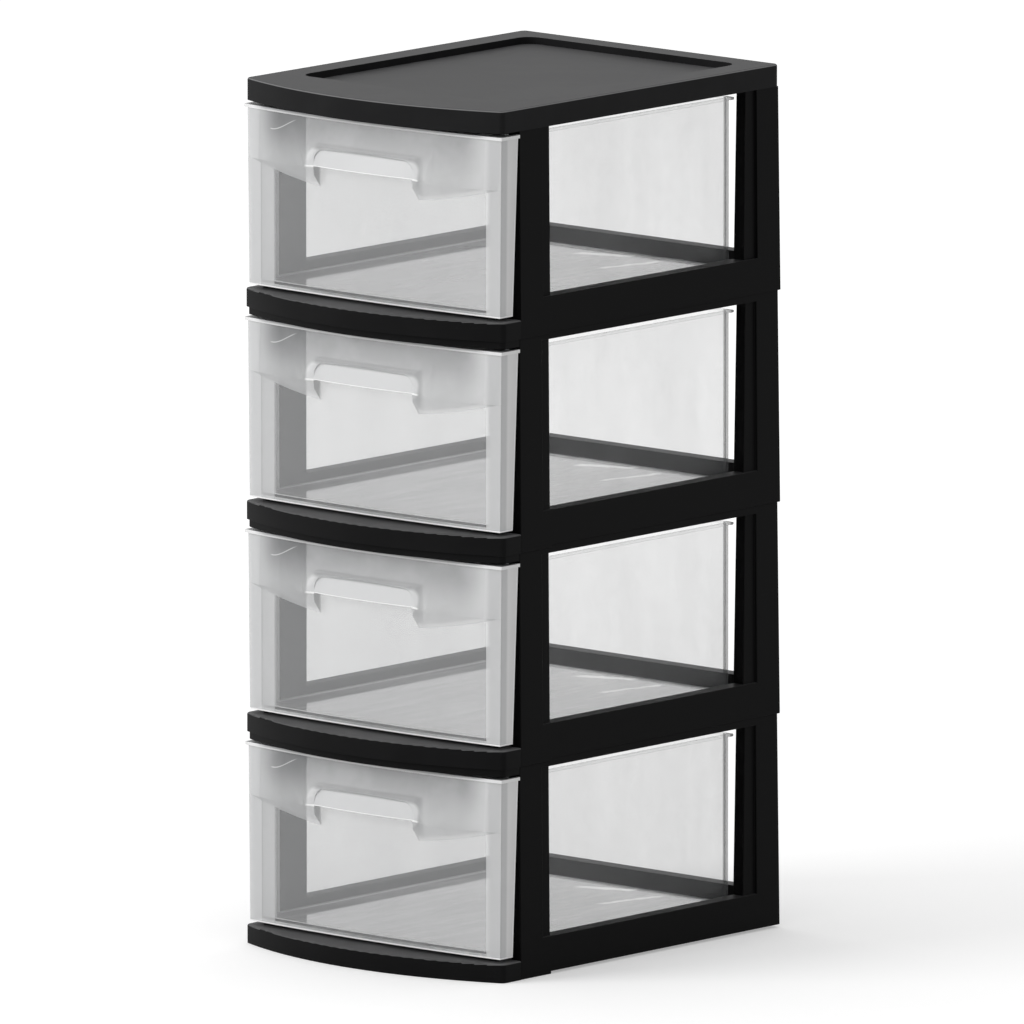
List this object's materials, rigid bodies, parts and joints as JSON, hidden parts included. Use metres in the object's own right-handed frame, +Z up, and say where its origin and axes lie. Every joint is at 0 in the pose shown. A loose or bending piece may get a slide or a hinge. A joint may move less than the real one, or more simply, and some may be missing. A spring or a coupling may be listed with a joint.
{
  "type": "drawer storage tower",
  "caption": "Plastic desk tower of stacked black frames with clear drawers that slide out by a moulded finger lip, under a flat lid with a sunk tray.",
  "frame": {"origin": "centre of the outer box, on the surface that the tower stands on", "axes": "+X to the tower's right seen from the front, +Y from the drawer fronts to the open back, +Z up"},
  "size_m": [0.26, 0.345, 0.662],
  "materials": {
    "black_plastic": "fine satin moulded surface",
    "clear_plastic": "clear walls, with a milky frosted upper band on the front"
  },
  "bodies": {
    "frame": {"shelf_1": "black_plastic", "side_left_1": "black_plastic", "side_right_1": "black_plastic", "top_bar_1": "black_plastic", "shelf_2": "black_plastic", "side_left_2": "black_plastic", "side_right_2": "black_plastic", "top_bar_2": "black_plastic", "shelf_3": "black_plastic", "side_left_3": "black_plastic", "side_right_3": "black_plastic", "top_bar_3": "black_plastic", "shelf_4": "black_plastic", "side_left_4": "black_plastic", "side_right_4": "black_plastic", "top_bar_4": "black_plastic", "lid": "black_plastic"},
    "drawer_1": {"drawer_1": "clear_plastic"},
    "drawer_2": {"drawer_2": "clear_plastic"},
    "drawer_3": {"drawer_3": "clear_plastic"},
    "drawer_4": {"drawer_4": "clear_plastic"}
  },
  "joints": [
    {"name": "drawer_1_slide", "type": "slide", "parent": "frame", "child": "drawer_1", "axis": [0, -1, 0], "range_m": [0, 0.24]},
    {"name": "drawer_2_slide", "type": "slide", "parent": "frame", "child": "drawer_2", "axis": [0, -1, 0], "range_m": [0, 0.24]},
    {"name": "drawer_3_slide", "type": "slide", "parent": "frame", "child": "drawer_3", "axis": [0, -1, 0], "range_m": [0, 0.24]},
    {"name": "drawer_4_slide", "type": "slide", "parent": "frame", "child": "drawer_4", "axis": [0, -1, 0], "range_m": [0, 0.24]}
  ]
}
